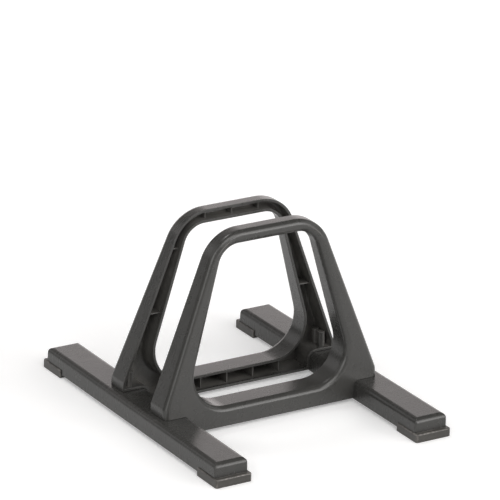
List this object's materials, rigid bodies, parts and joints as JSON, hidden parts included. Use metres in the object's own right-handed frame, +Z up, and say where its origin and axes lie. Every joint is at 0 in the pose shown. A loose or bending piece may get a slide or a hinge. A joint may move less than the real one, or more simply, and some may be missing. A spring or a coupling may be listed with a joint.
{
  "type": "bicycle floor stand",
  "caption": "Low floor stand for one bicycle wheel: leaning channel-section hoops face each other on base rails with shoe feet.",
  "frame": {"origin": "on the floor, under the middle of the stand", "axes": "+X across the rails, along the wheel's rolling direction; +Y along the rails, away from the picture's viewer; +Z up"},
  "size_m": [0.2852, 0.364, 0.213],
  "materials": {
    "charcoal_plastic": "satin moulded plastic with a fine grain",
    "black_rubber": "satin black rubber-like plastic",
    "zinc_steel": "zinc-plated steel"
  },
  "bodies": {
    "root": {"front_side_frame": "charcoal_plastic", "back_side_frame": "charcoal_plastic", "left_base_rail": "charcoal_plastic", "right_base_rail": "charcoal_plastic", "left_front_foot": "black_rubber", "left_back_foot": "black_rubber", "right_front_foot": "black_rubber", "right_back_foot": "black_rubber", "left_front_foot_screw": "zinc_steel", "left_back_foot_screw": "zinc_steel", "right_front_foot_screw": "zinc_steel", "right_back_foot_screw": "zinc_steel", "front_left_frame_screw_1": "zinc_steel", "front_left_frame_washer_1": "zinc_steel", "front_left_frame_screw_2": "zinc_steel", "front_left_frame_washer_2": "zinc_steel", "front_right_frame_screw_1": "zinc_steel", "front_right_frame_washer_1": "zinc_steel", "front_right_frame_screw_2": "zinc_steel", "front_right_frame_washer_2": "zinc_steel", "back_left_frame_screw_1": "zinc_steel", "back_left_frame_washer_1": "zinc_steel", "back_left_frame_screw_2": "zinc_steel", "back_left_frame_washer_2": "zinc_steel", "back_right_frame_screw_1": "zinc_steel", "back_right_frame_washer_1": "zinc_steel", "back_right_frame_screw_2": "zinc_steel", "back_right_frame_washer_2": "zinc_steel"}
  },
  "joints": []
}
